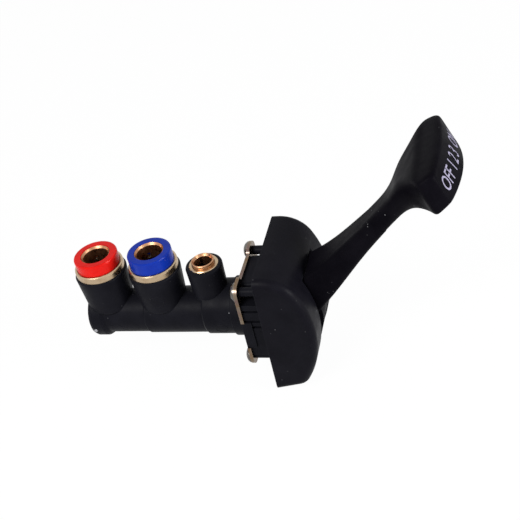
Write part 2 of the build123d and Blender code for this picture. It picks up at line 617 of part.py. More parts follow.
def sector(radius, start, end, half_width):
    """A slice of a drum about the pivot, from one angle to another."""
    middle = (start + end) / 2
    outline = make_face([
        Line(polar(0, 0), polar(radius, start)),
        ThreePointArc(polar(radius, start), polar(radius, middle), polar(radius, end)),
        Line(polar(radius, end), polar(0, 0))])
    return extrude(Plane.XZ * outline, amount=half_width, both=True)


def along_lever(distance, lift):
    """A point at a distance from the pivot in the lever's direction, lifted off that line."""
    a = radians(LEVER_ANGLE)
    return PIVOT_X + distance * cos(a) - lift * sin(a), 0, PIVOT_Z + distance * sin(a) + lift * cos(a)


def arm_section(distance, lift, width, thickness, corner, angle=LEVER_ANGLE):
    """A rounded cross-section of the lever, square to its direction."""
    direction = (cos(radians(angle)), 0, sin(radians(angle)))
    plane = Plane(origin=along_lever(distance, lift), x_dir=(0, 1, 0), z_dir=direction)
    return plane * RectangleRounded(width, thickness, corner)


def knob_plane(depth=0.0):
    """Plane of the knob's front edge, or one that lies deeper by depth."""
    a = radians(KNOB_ANGLE)
    front = Plane(origin=along_lever(KNOB_REACH, KNOB_OFFSET), x_dir=(0, 1, 0), z_dir=(cos(a), 0, sin(a)))
    return front.offset(-depth)


def knob_plan(height, bulge, taper):
    """Outline of the paddle at a height above its middle: straight rear, slanted ends, curved front."""
    plane = knob_plane()
    up = plane.y_dir if plane.y_dir.Z > 0 else -plane.y_dir
    level = Plane(origin=plane.origin + up * height, x_dir=(0, 1, 0), z_dir=up)
    out = 1 if level.y_dir.X > 0 else -1
    front_w = KNOB_FRONT_HALF_WIDTH - taper
    wide = KNOB_HALF_WIDTH - taper
    points = [
        (front_w, 0), (wide, -out * KNOB_SLANT), (wide, -out * KNOB_THICKNESS),
        (-wide, -out * KNOB_THICKNESS), (-wide, -out * KNOB_SLANT), (-front_w, 0)]
    front = ThreePointArc(points[-1], (0, out * bulge), points[0])
    return level * make_face([front] + [Line(a, b) for a, b in zip(points, points[1:])])


def lever():
    """Moulded lever: hub and drum, tapering arm, and the flare that carries the knob."""
    arm = loft([arm_section(*section) for section in ARM_SECTIONS])
    end_width = 2 * (KNOB_HALF_WIDTH - KNOB_TAPER - KNOB_SHOULDER)
    end_height = KNOB_HEIGHT - 2 * KNOB_SHOULDER
    end = knob_plane(KNOB_THICKNESS) * RectangleRounded(end_width, end_height, KNOB_EDGE)
    flare = loft([arm_section(*section) for section in ARM_SECTIONS[-1:] + FLARE_SECTIONS] + [end])
    hub = rod_y(HUB_R, -HUB_HALF_WIDTH, HUB_HALF_WIDTH, PIVOT_X, PIVOT_Z)
    body = hub + sector(DRUM_R, DRUM_FROM, DRUM_TO, HUB_HALF_WIDTH) + arm + flare
    slot = sector(CAM_SLOT_R, CAM_SLOT_FROM, CAM_SLOT_TO, CAM_HALF_WIDTH + SNUG)
    slot += rod_y(HUB_R + 0.5, -CAM_HALF_WIDTH - SNUG, CAM_HALF_WIDTH + SNUG, PIVOT_X, PIVOT_Z)
    body -= slot
    body -= rod_y(BUSHING_R + SNUG, -FAR, FAR, PIVOT_X, PIVOT_Z)
    pin_x, pin_z = polar(CAM_PIN_ORBIT, CAM_PIN_ANGLE)
    body -= rod_y(CAM_PIN_R + SNUG, -FAR, FAR, pin_x, pin_z)
    return body


def lever_cam():
    """Steel cam: an involute lobe, so the plunger moves in step with the lever."""
    reach = radians(LEVER_TRAVEL + 4.0)
    steps = 6

    def lobe(turn):
        support = CAM_LIFT_START + CAM_RATE * turn
        a = pi + turn
        x = PIVOT_X + support * cos(a) - CAM_RATE * sin(a)
        z = PIVOT_Z + support * sin(a) + CAM_RATE * cos(a)
        return x, z

    flank = Spline(*[lobe(reach * i / steps) for i in range(steps + 1)])
    tip = lobe(reach)
    shelf = (PIVOT_X - CAM_LIFT_START, PIVOT_Z)
    outline = make_face([
        Line(polar(0, 0), shelf), Line(shelf, lobe(0)), flank, Line(tip, polar(CAM_LIFT_START, 270.0)),
        Line(polar(CAM_LIFT_START, 270.0), polar(0, 0))])
    cam = extrude(Plane.XZ * outline, amount=CAM_HALF_WIDTH, both=True)
    cam += rod_y(CAM_LIFT_START, -CAM_HALF_WIDTH, CAM_HALF_WIDTH, PIVOT_X, PIVOT_Z)
    cam += sector(CAM_EAR_R, CAM_EAR_FROM, CAM_EAR_TO, CAM_HALF_WIDTH)
    cam -= rod_y(PIN_BORE_R, -FAR, FAR, PIVOT_X, PIVOT_Z)
    pin_x, pin_z = polar(CAM_PIN_ORBIT, CAM_PIN_ANGLE)
    cam -= rod_y(CAM_PIN_R + SNUG, -FAR, FAR, pin_x, pin_z)
    return cam


def cam_pin():
    """Dowel through lever and cam."""
    x, z = polar(CAM_PIN_ORBIT, CAM_PIN_ANGLE)
    return rod_y(CAM_PIN_R, -HUB_HALF_WIDTH + 0.2, HUB_HALF_WIDTH - 0.2, x, z)


def pivot_bushings():
    """Two flanged bushings, pressed in the hub from its two sides."""
    bushings = []
    for side in (-1, 1):
        sleeve = sorted((side * (CAM_HALF_WIDTH + 0.2), side * (HUB_HALF_WIDTH + BUSHING_FLANGE_THICKNESS)))
        flange = sorted((side * HUB_HALF_WIDTH, side * (HUB_HALF_WIDTH + BUSHING_FLANGE_THICKNESS)))
        bushing = rod_y(BUSHING_R, *sleeve, PIVOT_X, PIVOT_Z)
        bushing += rod_y(BUSHING_FLANGE_R, *flange, PIVOT_X, PIVOT_Z)
        bushings.append(bushing - rod_y(PIN_BORE_R, -FAR, FAR, PIVOT_X, PIVOT_Z))
    return Compound(children=bushings)


def knob():
    """Paddle grip: its front bulges more at the lower edge than at the upper one."""
    lower = knob_plan(-KNOB_HEIGHT / 2, KNOB_BOTTOM_BULGE, KNOB_TAPER)
    upper = knob_plan(KNOB_HEIGHT / 2, KNOB_TOP_BULGE, 0)
    body = loft([lower, upper], ruled=True)
    return fillet(body.edges(), KNOB_EDGE)


def lever_pivot_pin():
    """Headed pin through both cheeks, grooved for its clip."""
    x, z = PIVOT_X, PIVOT_Z
    clip_y = CHEEK_OUTER + 0.1
    pin = rod_y(PIN_R, -CHEEK_OUTER, CHEEK_OUTER + 1.8, x, z)
    pin += rod_y(PIN_HEAD_R, -CHEEK_OUTER - PIN_HEAD_THICKNESS, -CHEEK_OUTER, x, z)
    pin -= rod_y(PIN_R + 1, clip_y, clip_y + 0.7, x, z) - rod_y(PIN_R - 0.5, clip_y, clip_y + 0.7, x, z)
    return pin


def pivot_pin_clip():
    """E-clip in the pin's groove."""
    x, z = PIVOT_X, PIVOT_Z
    y0, y1 = CHEEK_OUTER + 0.15, CHEEK_OUTER + 0.75
    clip = rod_y(4.4, y0, y1, x, z) - rod_y(PIN_R - 0.5 + SNUG, y0 - 1, y1 + 1, x, z)
    return clip - block(x, x + 6, y0 - 1, y1 + 1, z - 1.7, z + 1.7)


# ---------------------------------------------------------------- springs
def poppet_spring():
    wire = 0.45
    return spring_x(3.4, wire, BORE_END_X + wire, SEAT_LIP_X - SNUG - 0.9 - 3.4 - wire - 0.1, 5)


def piston_spring():
    wire = 0.4
    return spring_x(4.7, wire, SEAT_FRONT_X + wire + 0.05, PISTON_REAR_X - wire - 0.05, 4)


def graduating_spring():
    wire = 0.6
    start = PISTON_REAR_X + PISTON_HEAD + wire + 0.05
    end = PLUNGER_COLLAR_X - PLUNGER_COLLAR - wire - 0.05
    return spring_x(SPRING_POCKET_R - wire - 0.2, wire, start, end, 6)


def main():
    nodes = {
        "valve_body": valve_body(),
        "inlet_seat": inlet_seat(),
        "inlet_seat_o_ring": inlet_seat_o_ring(),
        "poppet": poppet(),
        "poppet_seal": poppet_seal(),
        "poppet_spring": poppet_spring(),
        "piston": piston(),
        "piston_o_ring": piston_o_ring(),
        "piston_spring": piston_spring(),
        "graduating_spring": graduating_spring(),
        "plunger": plunger(),
        "plunger_bushing": plunger_bushing(),
        "plunger_wiper": plunger_wiper(),
        "mounting_plate": mounting_plate(),
        "plate_screws": plate_screws(),
        "bezel": bezel(),
        "lever_housing": lever_housing(),
        "lever": lever(),
        "knob": knob(),
        "lever_cam": lever_cam(),
        "cam_pin": cam_pin(),
        "pivot_bushings": pivot_bushings(),
        "lever_pivot_pin": lever_pivot_pin(),
        "pivot_pin_clip": pivot_pin_clip(),
    }
    for port in PORTS:
        nodes[port.name + "_cartridge"] = port.cartridge()
        nodes[port.name + "_collet"] = port.collet()
        nodes[port.name + "_tube_o_ring"] = port.seal()
        if port.collar:
            nodes[port.name + "_release_collar"] = port.release_collar()
    os.makedirs("parts", exist_ok=True)
    for name, shape in nodes.items():
        export_step(shape, f"parts/{name}.step")


main()
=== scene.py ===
import bmesh
import bpy
import random
from math import cos, pi, radians, sin, tau
from mathutils import Matrix, Vector
from mathutils.bvhtree import BVHTree


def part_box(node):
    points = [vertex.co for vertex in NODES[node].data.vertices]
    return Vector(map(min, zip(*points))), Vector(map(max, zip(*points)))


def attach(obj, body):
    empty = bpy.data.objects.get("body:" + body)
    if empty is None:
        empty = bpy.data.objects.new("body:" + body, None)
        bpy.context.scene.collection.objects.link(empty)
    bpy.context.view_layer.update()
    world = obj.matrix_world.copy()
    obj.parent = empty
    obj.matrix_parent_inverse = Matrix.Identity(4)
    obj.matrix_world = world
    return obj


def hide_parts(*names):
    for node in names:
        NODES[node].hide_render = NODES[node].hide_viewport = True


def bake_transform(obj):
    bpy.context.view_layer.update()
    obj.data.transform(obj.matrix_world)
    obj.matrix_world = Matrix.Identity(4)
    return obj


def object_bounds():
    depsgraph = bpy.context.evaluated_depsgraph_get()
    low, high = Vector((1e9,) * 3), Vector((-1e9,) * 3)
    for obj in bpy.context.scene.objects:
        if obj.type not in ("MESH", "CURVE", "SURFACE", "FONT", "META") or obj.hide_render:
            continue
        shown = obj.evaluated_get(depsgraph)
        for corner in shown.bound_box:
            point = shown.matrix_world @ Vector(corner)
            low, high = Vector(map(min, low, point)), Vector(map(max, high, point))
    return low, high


# Looks for the hand lever air valve: procedural materials for the CAD nodes, and the fine detail
# that the solids leave out. Metres, in the frame's axes: +X towards the hand, +Z the way the ports point.

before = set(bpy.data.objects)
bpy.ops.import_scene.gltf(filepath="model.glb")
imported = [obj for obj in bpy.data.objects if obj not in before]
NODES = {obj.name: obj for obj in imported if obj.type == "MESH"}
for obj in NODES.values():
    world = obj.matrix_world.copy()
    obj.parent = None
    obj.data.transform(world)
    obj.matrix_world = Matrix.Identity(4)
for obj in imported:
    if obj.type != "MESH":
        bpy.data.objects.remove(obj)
cad_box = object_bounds()
MM = 0.001


# ---------------------------------------------------------------- camera
CAMERA_AZIMUTH = radians(19.889)  # from -Y towards +X
CAMERA_ELEVATION = radians(36.571)
CAMERA_ROLL = radians(13.871)
CAMERA_DISTANCE = 0.333215
CAMERA_SHIFT = (0.005884, -0.016421)  # where the view's centre passes the origin
CAMERA_LENS = 62.32


def place_camera():
    towards = Vector((
        sin(CAMERA_AZIMUTH) * cos(CAMERA_ELEVATION), -cos(CAMERA_AZIMUTH) * cos(CAMERA_ELEVATION),
        sin(CAMERA_ELEVATION)))
    level = Vector((cos(CAMERA_AZIMUTH), sin(CAMERA_AZIMUTH), 0))
    upright = towards.cross(level)
    right = level * cos(CAMERA_ROLL) - upright * sin(CAMERA_ROLL)
    up = level * sin(CAMERA_ROLL) + upright * cos(CAMERA_ROLL)
    data = bpy.data.cameras.new("camera")
    data.lens = CAMERA_LENS
    data.sensor_width = 36
    data.clip_start = 0.01
    camera = bpy.data.objects.new("camera", data)
    turn = Matrix((right, up, towards)).transposed().to_4x4()
    place = towards * CAMERA_DISTANCE - right * CAMERA_SHIFT[0] - up * CAMERA_SHIFT[1]
    camera.matrix_world = Matrix.Translation(place) @ turn
    bpy.context.scene.collection.objects.link(camera)
    bpy.context.scene.camera = camera


# ---------------------------------------------------------------- materials
class Surface:
    """One node material round a Principled shader, in the object's own coordinates."""

    def __init__(self, name, colour, roughness, **fixed):
        self.material = bpy.data.materials.new(name)
        self.material.use_nodes = True
        self.tree = self.material.node_tree
        self.shader = self.tree.nodes["Principled BSDF"]
        self.shader.inputs["Base Color"].default_value = (*colour, 1)
        self.shader.inputs["Roughness"].default_value = roughness
        for socket, value in fixed.items():
            self.shader.inputs[socket.replace("_", " ")].default_value = value
        self.place = self.node("ShaderNodeTexCoord").outputs["Object"]
        self.colour = None
        self.normal = None

    def node(self, kind, **settings):
        made = self.tree.nodes.new(kind)
        for key, value in settings.items():
            if hasattr(made, key):
                setattr(made, key, value)
            else:
                made.inputs[key.replace("_", " ")].default_value = value
        return made

    def link(self, source, target):
        self.tree.links.new(source, target)

    def noise(self, size, detail=3.0, place=None):
        """Noise whose cells are about size metres across; 0 to 1."""
        made = self.node("ShaderNodeTexNoise", Scale=1 / size, Detail=detail, Roughness=0.55)
        self.link(place or self.place, made.inputs["Vector"])
        return made.outputs["Fac"]

    def cells(self, size, feature="F1"):
        """Distance to the nearest of many scattered points, in cells."""
        made = self.node("ShaderNodeTexVoronoi", Scale=1 / size)
        made.feature = feature
        self.link(self.place, made.inputs["Vector"])
        return made.outputs["Distance"]

    def between(self, value, low, high, out_low=0.0, out_high=1.0):
        """Maps low..high to out_low..out_high, held inside that range."""
        made = self.node("ShaderNodeMapRange")
        made.inputs["From Min"].default_value = low
        made.inputs["From Max"].default_value = high
        made.inputs["To Min"].default_value = out_low
        made.inputs["To Max"].default_value = out_high
        self.link(value, made.inputs["Value"])
        return made.outputs["Result"]

    def times(self, first, second):
        made = self.node("ShaderNodeMath", operation="MULTIPLY")
        self.link(first, made.inputs[0])
        self.link(second, made.inputs[1])
        return made.outputs[0]

    def ring_distance(self, x, axis="Z"):
        """Distance from an axis through (x, 0, 0)."""
        moved = self.node("ShaderNodeVectorMath", operation="SUBTRACT")
        moved.inputs[1].default_value = (x, 0, 0)
        self.link(self.place, moved.inputs[0])
        flat = self.node("ShaderNodeVectorMath", operation="MULTIPLY")
        flat.inputs[1].default_value = (1, 1, 0) if axis == "Z" else (0, 1, 1)
        self.link(moved.outputs[0], flat.inputs[0])
        length = self.node("ShaderNodeVectorMath", operation="LENGTH")
        self.link(flat.outputs[0], length.inputs[0])
        return length.outputs["Value"]

    def edges(self, width):
        """1 on convex and concave edges, 0 on open surface."""
        bevel = self.node("ShaderNodeBevel", samples=6, Radius=width)
        flat = self.node("ShaderNodeNewGeometry").outputs["Normal"]
        dot = self.node("ShaderNodeVectorMath", operation="DOT_PRODUCT")
        self.link(bevel.outputs["Normal"], dot.inputs[0])
        self.link(flat, dot.inputs[1])
        return self.between(dot.outputs["Value"], 0.985, 0.86)

    def tint(self, amount, colour):
        """Lays a colour over what is there, by an amount from 0 to 1."""
        mix = self.node("ShaderNodeMix", data_type="RGBA")
        under, over = mix.inputs[6], mix.inputs[7]
        if self.colour is None:
            under.default_value = self.shader.inputs["Base Color"].default_value
        else:
            self.link(self.colour, under)
        over.default_value = (*colour, 1)
        self.link(amount, mix.inputs[0])
        self.colour = mix.outputs[2]
        self.link(self.colour, self.shader.inputs["Base Color"])
        return self

    def rough(self, value, low, high):
        self.link(self.between(value, 0.25, 0.75, low, high), self.shader.inputs["Roughness"])
        return self

    def bump(self, height, depth, strength=1.0):
        """Adds relief: height from 0 to 1 stands for depth metres."""
        made = self.node("ShaderNodeBump", Strength=strength, Distance=depth)
        self.link(height, made.inputs["Height"])
        if self.normal is not None:
            self.link(self.normal, made.inputs["Normal"])
        self.normal = made.outputs["Normal"]
        self.link(self.normal, self.shader.inputs["Normal"])
        return self

    def dust(self, size, share, colour, amount=0.5):
        """Scattered specks, each a small share of its cell."""
        speck = self.between(self.cells(size), share, share * 0.5)
        patch = self.between(self.noise(size * 6), 0.5, 0.62, 0, amount)
        return self.tint(self.times(speck, patch), colour)


def moulded_black(name, tone, grain, roughness, specular):
    """Black glass-filled nylon: fine grain, cloudy gloss, a painted highlight along the edges and a few specks of
    dust.
    """
    made = Surface(name, tone, roughness, Specular_IOR_Level=specular)
    lit = tuple(min(1.0, c * 1.8 + 0.002) for c in tone)
    made.tint(made.between(made.noise(0.009), 0.35, 0.75, 0, 0.55), lit)
    made.tint(made.between(made.noise(0.0006, 2), 0.55, 0.8, 0, 0.4), lit)
    # painted highlight: edges and creases tinted paler, standing in for the light a rounded edge catches
    made.tint(made.between(made.edges(0.00035), 0, 1, 0, 0.3), (0.03, 0.03, 0.036))
    made.dust(0.0024, 0.09, (0.25, 0.25, 0.26), 0.6)
    made.rough(made.noise(0.004), roughness - 0.07, roughness + 0.09)
    made.bump(made.noise(grain, 2), grain * 0.16, 0.55)
    made.bump(made.noise(0.012, 1), 0.00025, 0.25)
    return made.material


def glossy_ring(name, colour, deep):
    """Glossy acetal: slight flow lines, a soft depth of colour, fine scuffs and a painted highlight along the edges.
    """
    made = Surface(name, colour, 0.24, Specular_IOR_Level=0.1)
    made.tint(made.between(made.noise(0.005), 0.4, 0.75, 0, 0.5), deep)
    # painted highlight: a paler copy of the colour along edges and creases
    made.tint(made.between(made.edges(0.0003), 0, 1, 0, 0.25), tuple(min(1, c * 1.4 + 0.02) for c in colour))
    made.rough(made.noise(0.0016), 0.2, 0.32)
    made.bump(made.noise(0.003, 2), 0.0001, 0.35)
    made.bump(made.noise(0.0002, 1), 0.00001, 0.3)
    return made.material


def turned_metal(name, colour, stain, roughness, axes, axis="Z"):
    """Turned metal: fine tool rings round the nearest axis, cloudy tarnish and a painted highlight along the edges.
    """
    made = Surface(name, colour, roughness, Metallic=1.0)
    made.tint(made.between(made.noise(0.003), 0.45, 0.8, 0, 0.6), stain)
    made.tint(made.between(made.noise(0.0004, 2), 0.6, 0.85, 0, 0.15), stain)
    # painted highlight: edges tinted brighter, standing in for the light that chamfers catch
    made.tint(made.between(made.edges(0.0002), 0, 1, 0, 0.5), tuple(min(1, c * 1.15) for c in colour))
    made.rough(made.noise(0.0009), roughness - 0.06, roughness + 0.1)
    nearest = None
    for x in axes:
        distance = made.ring_distance(x, axis)
        if nearest is None:
            nearest = distance
        else:
            least = made.node("ShaderNodeMath", operation="MINIMUM")
            made.link(nearest, least.inputs[0])
            made.link(distance, least.inputs[1])
            nearest = least.outputs[0]
    wave = made.node("ShaderNodeMath", operation="MULTIPLY")
    wave.inputs[1].default_value = tau / 0.00022
    made.link(nearest, wave.inputs[0])
    rings = made.node("ShaderNodeMath", operation="SINE")
    made.link(wave.outputs[0], rings.inputs[0])
    made.bump(made.between(rings.outputs[0], -1, 1), 0.000012, 0.5)
    made.bump(made.noise(0.0012, 2), 0.00002, 0.4)
    return made.material


def plated(name, colour, tints, roughness):
    """Zinc plate: passivation tints in drifting patches, spangle, and brighter edges that are partly worn plate and
    partly a painted highlight.
    """
    made = Surface(name, colour, roughness, Metallic=1.0)
    for step, tint in enumerate(tints):
        patch = made.noise(0.0035 + 0.0012 * step, 2)
        made.tint(made.between(patch, 0.44 + 0.03 * step, 0.6 + 0.03 * step, 0, 0.75), tint)
    # brighter edges: partly worn plate, partly a painted highlight where edges would catch the light
    made.tint(made.between(made.edges(0.0002), 0, 1, 0, 0.5), tuple(min(1, c * 2.6) for c in colour))
    made.rough(made.noise(0.0007), roughness - 0.06, roughness + 0.14)
    made.bump(made.noise(0.0003, 2), 0.00002, 0.5)
    return made.material


def rubber(name):
    made = Surface(name, (0.018, 0.018, 0.019), 0.55, Specular_IOR_Level=0.35)
    made.tint(made.between(made.noise(0.0008), 0.45, 0.8, 0, 0.6), (0.04, 0.04, 0.041))
    made.rough(made.noise(0.0004), 0.48, 0.66)
    made.bump(made.noise(0.0002, 2), 0.00002, 0.5)
    return made.material


def natural_acetal(name):
    made = Surface(name, (0.74, 0.73, 0.68), 0.4, Specular_IOR_Level=0.45)
    made.tint(made.between(made.noise(0.002), 0.4, 0.8, 0, 0.6), (0.62, 0.6, 0.54))
    made.rough(made.noise(0.0006), 0.34, 0.5)
    made.bump(made.noise(0.0004, 2), 0.00002, 0.4)
    return made.material


def port_x(name):
    low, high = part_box(name + "_collet")
    return (low[0] + high[0]) / 2


PORT_XS = [port_x(name) for name in ("supply", "delivery", "exhaust")]

BODY_BLACK = moulded_black("body_black", (0.0048, 0.0048, 0.0072), 0.00022, 0.42, 0.035)
BEZEL_BLACK = moulded_black("bezel_black", (0.0032, 0.003, 0.005), 0.0002, 0.42, 0.04)
LEVER_BLACK = moulded_black("lever_black", (0.002, 0.0017, 0.003), 0.00045, 0.44, 0.014)
RED = glossy_ring("red_acetal", (0.62, 0.008, 0.005), (0.42, 0.003, 0.002))
BLUE = glossy_ring("blue_acetal", (0.004, 0.026, 0.3), (0.002, 0.012, 0.19))
BRASS = turned_metal("brass", (0.5, 0.38, 0.25), (0.3, 0.19, 0.1), 0.26, PORT_XS)
BRONZE = turned_metal("bronze", (0.5, 0.27, 0.15), (0.3, 0.13, 0.06), 0.3, PORT_XS)
PLATE_STEEL = plated("plate_steel", (0.2, 0.16, 0.115), ((0.17, 0.1, 0.05), (0.16, 0.11, 0.11)), 0.24)
SCREW_STEEL = plated("screw_steel", (0.15, 0.14, 0.125), ((0.08, 0.07, 0.06), (0.14, 0.135, 0.14)), 0.2)
SPRING_STEEL = plated("spring_steel", (0.5, 0.5, 0.5), ((0.36, 0.34, 0.32),), 0.3)
RUBBER = rubber("seal_rubber")
ACETAL = natural_acetal("natural_acetal")

FINISHES = {
    BODY_BLACK: ["valve_body", "lever_housing"],
    BEZEL_BLACK: ["bezel"],
    LEVER_BLACK: ["lever", "knob"],
    RED: ["supply_release_collar"],
    BLUE: ["delivery_release_collar"],
    BRASS: ["supply_cartridge", "delivery_cartridge", "exhaust_cartridge", "inlet_seat", "plunger"],
    BRONZE: ["supply_collet", "delivery_collet", "exhaust_collet", "plunger_bushing", "pivot_bushings"],
    PLATE_STEEL: ["mounting_plate", "lever_pivot_pin", "lever_cam", "cam_pin"],
    SCREW_STEEL: ["plate_screws"],
    SPRING_STEEL: ["poppet_spring", "piston_spring", "graduating_spring", "pivot_pin_clip"],
    RUBBER: ["supply_tube_o_ring", "delivery_tube_o_ring", "exhaust_tube_o_ring", "inlet_seat_o_ring",
             "piston_o_ring", "poppet_seal", "plunger_wiper"],
    ACETAL: ["piston", "poppet"],
}


def finish_nodes():
    for material, names in FINISHES.items():
        for name in names:
            for slot in NODES[name].material_slots:
                slot.material = material


# ---------------------------------------------------------------- pieces
def add_piece(name, vertices, faces, material, body, smooth=True):
    """A new mesh object that rides on a body and takes the given material."""
    mesh = bpy.data.meshes.new(name)
    mesh.from_pydata([tuple(v) for v in vertices], [], faces)
    mesh.materials.append(material)
    piece = bpy.data.objects.new(name, mesh)
    bpy.context.scene.collection.objects.link(piece)
    worked = bmesh.new()
    worked.from_mesh(mesh)
    bmesh.ops.recalc_face_normals(worked, faces=worked.faces)
    worked.to_mesh(mesh)
    worked.free()
    for face in mesh.polygons:
        face.use_smooth = smooth
    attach(piece, body)
    return piece


def apply_modifiers(piece):
    """Replaces the piece's mesh by its evaluated one."""
    shape = bpy.data.meshes.new_from_object(piece.evaluated_get(bpy.context.evaluated_depsgraph_get()))
    piece.modifiers.clear()
    piece.data = shape


def tree_of(piece):
    """The piece's faces, for casting rays on them."""
    return BVHTree.FromPolygons(
        [tuple(piece.matrix_world @ v.co) for v in piece.data.vertices],
        [tuple(face.vertices) for face in piece.data.polygons])


# ---------------------------------------------------------------- lever and grip
PIVOT = Vector((8.5, 0, 0.9)) * MM
LEVER_ANGLE = radians(46.5)
JOIN = 50.0  # distance from the pivot where the drawn-out grip takes over from the moulded arm
# sections of the grip's neck: distance from the pivot, lift, angle, half width, height above and below, corner
NECK = (
    (46.0, 0.49, 46.5, 6.32, 3.62, 3.62, 2.5),
    (50.0, 0.53, 46.5, 6.24, 3.54, 3.54, 2.5),
    (56.0, 0.56, 45.0, 6.15, 3.45, 3.45, 2.4),
    (61.0, 0.95, 41.0, 7.0, 3.75, 3.6, 2.4),
    (66.0, 1.65, 34.0, 9.2, 5.5, 4.6, 2.5),
    (70.2, 1.2, 27.0, 12.4, 6.5, 5.1, 2.5),
)
GRIP_REACH = 81.9
GRIP_LIFT = -0.8
GRIP_ANGLE = 24.0
GRIP_HALF_HEIGHT = 6.1
# sections of the paddle: depth behind the front, half width, height above and below, corner
PADDLE = (
    (7.7, 16.2, 6.1, 8.0, 2.4),
    (6.0, 19.0, 6.0, 7.8, 2.2),
    (4.9, 19.75, 5.9, 7.5, 2.0),
    (3.8, 19.6, 6.0, 7.2, 1.9),
    (1.5, 19.0, 6.25, 6.5, 1.9),
    (0.4, 18.45, 5.95, 6.05, 1.8),
)
FRONT_HALF_WIDTH = 18.5
FRONT_BULGE = (4.1, 1.6)  # rise of the front's curve, at its lower and upper edges


def lever_point(distance, lift):
    along = Vector((cos(LEVER_ANGLE), 0, sin(LEVER_ANGLE)))
    up = Vector((-sin(LEVER_ANGLE), 0, cos(LEVER_ANGLE)))
    return PIVOT + (along * distance + up * lift) * MM


def section(half_width, above, below, corner):
    """Points of a rounded section as (sideways, up): upper side, far end, lower side, near end."""
    points = []
    for y_sign, z_sign in ((1, 1), (-1, 1), (-1, -1), (1, -1)):
        height = above if z_sign > 0 else below
        start = {(1, 1): 0, (-1, 1): 90, (-1, -1): 180, (1, -1): 270}[(y_sign, z_sign)]
        for step in range(3):
            a = radians(start + 45 * step)
            points.append((
                y_sign * (half_width - corner) + corner * cos(a), z_sign * (height - corner) + corner * sin(a)))
        along = (half_width - corner) * 2
        if z_sign == y_sign:  # a long side follows: five points along it
            for step in range(1, 6):
                points.append((y_sign * (half_width - corner) - y_sign * along * step / 6, z_sign * height))
        else:  # an end follows: one point in its middle
            other = below if z_sign > 0 else above
            points.append((y_sign * half_width, (z_sign * height - z_sign * other) / 2))
    return points


def front_rise(y, z):
    share = min(1.0, max(0.0, (z + GRIP_HALF_HEIGHT) / (2 * GRIP_HALF_HEIGHT)))
    bulge = FRONT_BULGE[0] + (FRONT_BULGE[1] - FRONT_BULGE[0]) * share
    return bulge * (1 - (y / FRONT_HALF_WIDTH) ** 2)


def lever_grip():
    """Neck, flare and paddle in one soft form, from sections in mesh code, subdivided."""
    rings = []
    for distance, lift, angle, half_width, above, below, corner in NECK:
        a = radians(angle)
        up = Vector((-sin(a), 0, cos(a)))
        rings.append([
            lever_point(distance, lift) + (up * z + Vector((0, y, 0))) * MM
            for y, z in section(half_width, above, below, corner)])
    a = radians(GRIP_ANGLE)
    out = Vector((cos(a), 0, sin(a)))
    up = Vector((-sin(a), 0, cos(a)))
    middle = lever_point(GRIP_REACH, GRIP_LIFT)

    def place(depth, y, z, rise):
        return middle + (out * (front_rise(y, z) * rise - depth) + up * z + Vector((0, y, 0))) * MM

    for depth, half_width, above, below, corner in PADDLE:
        rise = 1 - min(1.0, depth / 3.8)
        rings.append([place(depth, y, z, rise) for y, z in section(half_width, above, below, corner)])
    last = section(*PADDLE[-1][1:])
    for narrow, shrink in ((0.97, 0.9), (0.95, 0.78), (0.93, 0.5), (0.92, 0.2)):
        rings.append([place(0, y * narrow, z * shrink, 1) for y, z in last])
    count = len(rings[0])
    vertices = [v for ring in rings for v in ring]
    faces = []
    for k in range(len(rings) - 1):
        for i in range(count):
            j = (i + 1) % count
            faces.append((k * count + i, k * count + j, (k + 1) * count + j, (k + 1) * count + i))
    base = (len(rings) - 1) * count
    side = count // 2 - 1  # points of the upper or the lower side
    for i in range(side - 1):
        faces.append(tuple(base + k for k in (i, i + 1, 2 * side - 1 - i, 2 * side - i)))
    faces.append((base, base + 2 * side, base + 2 * side + 1))
    faces.append((base + side - 1, base + side, base + side + 1))
    grip = add_piece("lever_grip", vertices, faces, LEVER_BLACK, "lever")
    soft = grip.modifiers.new("soft", "SUBSURF")
    soft.levels = soft.render_levels = 3
    apply_modifiers(grip)
    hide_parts("knob")
    return grip


def lever_arm():
    """The moulded arm, hub and drum as the solids have them, up to where the grip takes over."""
    source = NODES["lever"]
    mesh = source.data.copy()
    worked = bmesh.new()
    worked.from_mesh(mesh)
    along = Vector((cos(LEVER_ANGLE), 0, sin(LEVER_ANGLE)))
    bmesh.ops.bisect_plane(
        worked, geom=list(worked.verts) + list(worked.edges) + list(worked.faces),
        plane_co=lever_point(JOIN, 0), plane_no=along, clear_outer=True)
    worked.to_mesh(mesh)
    worked.free()
    arm = bpy.data.objects.new("lever_arm", mesh)
    arm.matrix_world = source.matrix_world
    bpy.context.scene.collection.objects.link(arm)
    mesh.materials.clear()
    mesh.materials.append(LEVER_BLACK)
    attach(arm, "lever")
    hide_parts("lever")


def live_spring(node):
    """A copy of a solid's spring in spring steel, which stands in for the solid; the solid's own is hidden."""
    source = NODES[node]
    mesh = source.data.copy()
    mesh.materials.clear()
    mesh.materials.append(SPRING_STEEL)
    spring = bpy.data.objects.new(node + "_coil", mesh)
    bpy.context.scene.collection.objects.link(spring)
    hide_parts(node)
    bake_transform(spring)


# ---------------------------------------------------------------- marks and small moulding details
LETTERS = (("OFF 1 2 3", -6.6), ("ON", 9.8))  # each group and where its middle lies across the grip
LETTER_HEIGHT = 5.0
LETTER_SQUEEZE = 0.68  # width against the font's own
LETTER_RISE = -0.4
LETTER_EDGE = 0.8  # longest edge, so that letters follow the front's curve
CAPITAL_SHARE = 0.7  # height of a capital against the font's size
SCREW_HEAD_R = 3.35
PLATE_FRONT_X = -8.0


def draped(points, tree, aim, lift):
    """Points moved onto a surface along aim, and lifted a little; points that miss it are dropped."""
    found = []
    for point in points:
        spot, normal, _, _ = tree.ray_cast(point - aim * 0.02, aim)
        if spot is not None:
            found.append((spot + (normal if normal.dot(aim) < 0 else -normal) * lift, normal))
    return found


